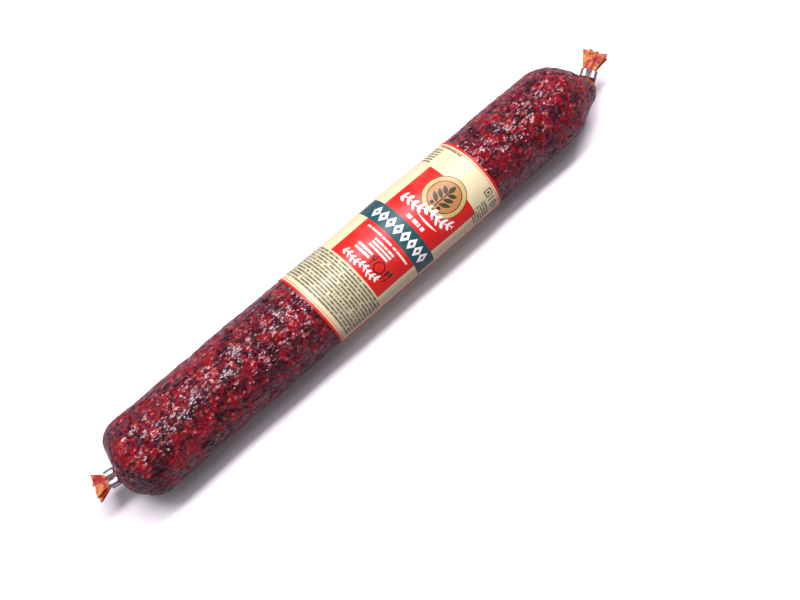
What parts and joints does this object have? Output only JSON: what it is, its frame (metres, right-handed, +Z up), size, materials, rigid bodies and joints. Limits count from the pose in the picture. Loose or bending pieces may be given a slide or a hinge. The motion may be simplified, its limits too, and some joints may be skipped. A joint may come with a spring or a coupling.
{
  "type": "cured sausage",
  "caption": "Cured sausage with a lumpy, glossy speckled body, gathered ends held by metal clips, flared film tails and a printed paper band.",
  "frame": {"origin": "middle of the bounding box at the level of the flattened underside", "axes": "+X along the sausage towards the clip whose tail leans over, +Y to the side that tail leans to, +Z up with the underside at z = 0"},
  "size_m": [0.3344, 0.0434, 0.0416],
  "materials": {
    "meat": "coarse cured meat, dark crimson with paler pink and orange fat specks",
    "casing_film": "thin wrinkled see-through film, glossy over the meat, amber where it is gathered",
    "clip_metal": "bright drawn strip with rounded edges",
    "label_paper": "smooth printed paper, cream with a red panel, a teal band and thin red borders"
  },
  "bodies": {
    "root": {"meat_filling": "meat", "casing": "casing_film", "left_clip": "clip_metal", "right_clip": "clip_metal", "label_band": "label_paper"}
  },
  "joints": []
}
